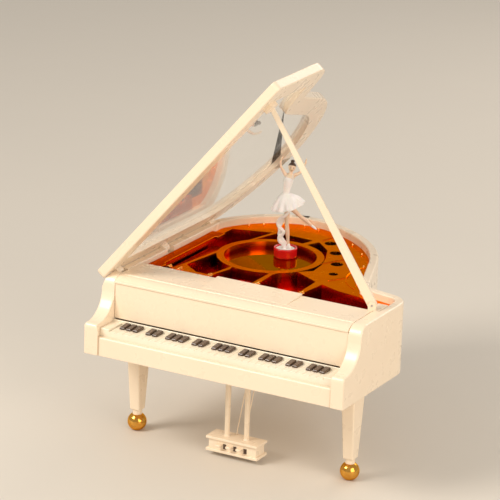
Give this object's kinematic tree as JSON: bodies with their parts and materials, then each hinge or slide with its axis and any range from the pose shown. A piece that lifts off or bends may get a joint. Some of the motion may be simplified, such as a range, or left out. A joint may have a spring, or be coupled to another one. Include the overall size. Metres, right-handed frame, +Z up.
{
  "type": "miniature grand piano musical box",
  "caption": "Miniature grand piano musical box with a propped window lid, plated sound plate, round mirror and a dancer that circles on a magnet.",
  "frame": {"origin": "on the floor, under the middle of the whole object's box with the lid open", "axes": "+Z up, +Y from the keyboard back to the tail, +X to the right of someone facing the keys"},
  "size_m": [0.1646, 0.1794, 0.2204],
  "materials": {
    "ivory_plastic": "glossy",
    "key_plastic": "glossy",
    "dark_key_plastic": "satin",
    "clear_plastic": "polished",
    "gold_plating": "mirror-plated",
    "mirror": "polished",
    "gold_ball": "mirror-plated",
    "brass": "polished",
    "steel": "brushed",
    "chrome": "polished",
    "zinc": "cast",
    "red_plastic": "glossy",
    "white_plastic": "matt",
    "magnet": "plated",
    "figure_plastic": "satin paint",
    "nylon": "matt"
  },
  "bodies": {
    "case": {"case_shell": "ivory_plastic", "bottom_cover": "ivory_plastic", "key_slip": "ivory_plastic", "keyboard": "key_plastic", "black_keys": "dark_key_plastic", "front_panel": "ivory_plastic", "top_deck": "ivory_plastic", "music_desk": "ivory_plastic", "gold_plate": "gold_plating", "mirror": "mirror", "hitch_pins": "gold_plating", "plate_screws": "gold_plating", "hinge_pins": "steel", "prop_bracket": "ivory_plastic", "prop_pin": "steel", "lyre": "ivory_plastic", "lyre_pedals": "ivory_plastic", "lyre_braces": "ivory_plastic", "cover_screws": "steel", "movement_bedplate": "zinc", "bed_screws": "steel", "cylinder_bearings": "zinc", "comb": "steel", "comb_base": "zinc", "comb_screws": "steel", "governor_frame": "brass", "takeoff_bridge": "zinc", "sun_gear": "nylon", "leg_left": "ivory_plastic", "ball_foot_left": "gold_ball", "leg_right": "ivory_plastic", "ball_foot_right": "gold_ball", "leg_tail": "ivory_plastic", "ball_foot_tail": "gold_ball"},
    "lid": {"lid_frame": "ivory_plastic", "lid_pane": "clear_plastic"},
    "prop": {"lid_prop": "ivory_plastic"},
    "winder": {"winding_arbor": "steel", "winding_key": "brass"},
    "barrel": {"spring_barrel": "brass", "barrel_cover": "brass", "mainspring": "steel"},
    "drum": {"cylinder": "brass", "cylinder_axle": "steel", "cylinder_pinion": "nylon"},
    "arm": {"arm_shaft": "steel", "arm_pinion": "brass", "magnet_arm": "nylon"},
    "planet": {"planet_gear": "nylon", "drive_magnet": "magnet"},
    "dancer": {"dancer_cup": "red_plastic", "cup_magnet": "magnet", "cup_disc": "white_plastic", "dancer": "figure_plastic"},
    "fly": {"governor_fly": "nylon"}
  },
  "joints": [
    {"name": "lid_hinge", "type": "hinge", "parent": "case", "child": "lid", "pos_m": [-0.07375, -0.00946, 0.0937], "axis": [0, -1, 0], "range_deg": [0, 12]},
    {"name": "prop_hinge", "type": "hinge", "parent": "case", "child": "prop", "pos_m": [0.07295, -0.04066, 0.0981], "axis": [0.3467, -0.938, 0], "range_deg": [-60, 0]},
    {"name": "key_turn", "type": "hinge", "parent": "case", "child": "winder", "pos_m": [-0.00954, 0.00416, 0.05], "axis": [0, 0, 1], "continuous": true},
    {"name": "barrel_turn", "type": "hinge", "parent": "case", "child": "barrel", "pos_m": [-0.00954, 0.00416, 0.062], "axis": [0, 0, 1], "continuous": true},
    {"name": "drum_turn", "type": "hinge", "parent": "case", "child": "drum", "pos_m": [-0.00954, -0.02466, 0.0732], "axis": [0, -1, 0], "continuous": true},
    {"name": "arm_turn", "type": "hinge", "parent": "case", "child": "arm", "pos_m": [-0.01575, 0.02734, 0.079], "axis": [0, 0, 1], "continuous": true},
    {"name": "planet_turn", "type": "hinge", "parent": "arm", "child": "planet", "pos_m": [-0.02035, 0.03565, 0.079], "axis": [0, 0, 1], "continuous": true},
    {"name": "dancer_lift", "type": "slide", "parent": "planet", "child": "dancer", "axis": [0, 0, 1], "range_m": [0, 0.004]},
    {"name": "fly_turn", "type": "hinge", "parent": "case", "child": "fly", "pos_m": [-0.02325, -0.03366, 0.065], "axis": [0, 0, 1], "continuous": true}
  ],
  "couplings": [
    {"joint": "drum_turn", "follows": "barrel_turn", "ratio": 2.4},
    {"joint": "arm_turn", "follows": "barrel_turn", "ratio": -3},
    {"joint": "planet_turn", "follows": "barrel_turn", "ratio": -2.7}
  ]
}
